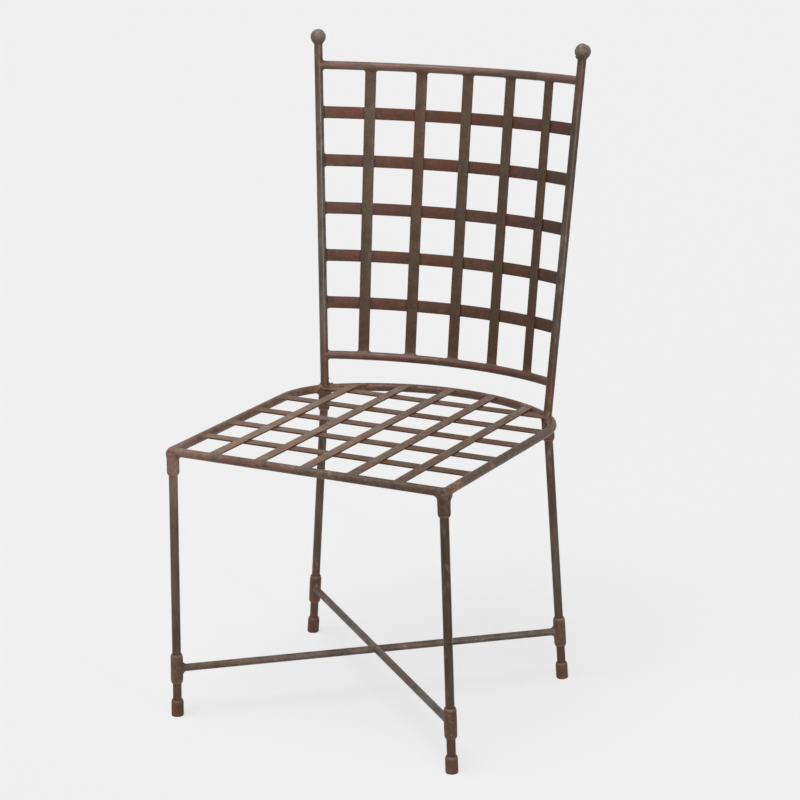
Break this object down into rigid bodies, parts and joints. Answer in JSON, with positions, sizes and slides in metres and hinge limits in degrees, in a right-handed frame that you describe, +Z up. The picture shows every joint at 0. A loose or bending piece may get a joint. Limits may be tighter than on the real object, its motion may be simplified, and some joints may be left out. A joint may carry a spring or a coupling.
{
  "type": "porch chair",
  "caption": "Welded iron porch chair with a flat-strap lattice seat, a bowed lattice back between posts with ball finials, sleeved legs and crossed stretchers.",
  "frame": {"origin": "on the floor, at the centre of the chair's bounding box in plan", "axes": "+Z up, the chair faces -Y, +X to the right as seen from the front; X = 0 is the chair's mirror plane"},
  "size_m": [0.516, 0.5795, 1.047],
  "materials": {
    "seat_rod": "satin, worn brown iron",
    "seat_strap": "satin, olive-brown iron",
    "post": "satin, worn brown iron",
    "finial": "satin, hammered iron",
    "back_rail": "satin, rusty brown iron",
    "upright": "satin, olive-brown iron",
    "back_strap": "matt, reddish brown iron",
    "leg": "satin, grey-brown worn iron",
    "sleeve": "matt, reddish brown iron",
    "foot": "matt, reddish brown iron",
    "stretcher": "satin, brown iron"
  },
  "bodies": {
    "root": {"seat_front_rail": "seat_rod", "seat_hoop": "seat_rod", "back_bottom_rail": "back_rail", "back_top_rail": "back_rail", "seat_long_strap_1": "seat_strap", "seat_long_strap_2": "seat_strap", "seat_long_strap_3": "seat_strap", "seat_long_strap_4": "seat_strap", "seat_long_strap_5": "seat_strap", "seat_cross_strap_1": "seat_strap", "seat_cross_strap_2": "seat_strap", "seat_cross_strap_3": "seat_strap", "seat_cross_strap_4": "seat_strap", "seat_cross_strap_5": "seat_strap", "back_upright_1": "upright", "back_upright_2": "upright", "back_upright_3": "upright", "back_upright_4": "upright", "back_upright_5": "upright", "back_cross_strap_1": "back_strap", "back_cross_strap_2": "back_strap", "back_cross_strap_3": "back_strap", "back_cross_strap_4": "back_strap", "back_cross_strap_5": "back_strap", "post_left": "post", "post_right": "post", "finial_left": "finial", "finial_right": "finial", "leg_front_left": "leg", "leg_front_right": "leg", "leg_rear_left": "leg", "leg_rear_right": "leg", "leg_socket_front_left": "sleeve", "leg_socket_front_right": "sleeve", "leg_socket_rear_left": "sleeve", "leg_socket_rear_right": "sleeve", "stretcher_sleeve_front_left": "sleeve", "stretcher_sleeve_front_right": "sleeve", "stretcher_sleeve_rear_left": "sleeve", "stretcher_sleeve_rear_right": "sleeve", "foot_front_left": "foot", "foot_front_right": "foot", "foot_rear_left": "foot", "foot_rear_right": "foot", "stretcher_long": "stretcher", "stretcher_short_front": "stretcher", "stretcher_short_rear": "stretcher"}
  },
  "joints": []
}
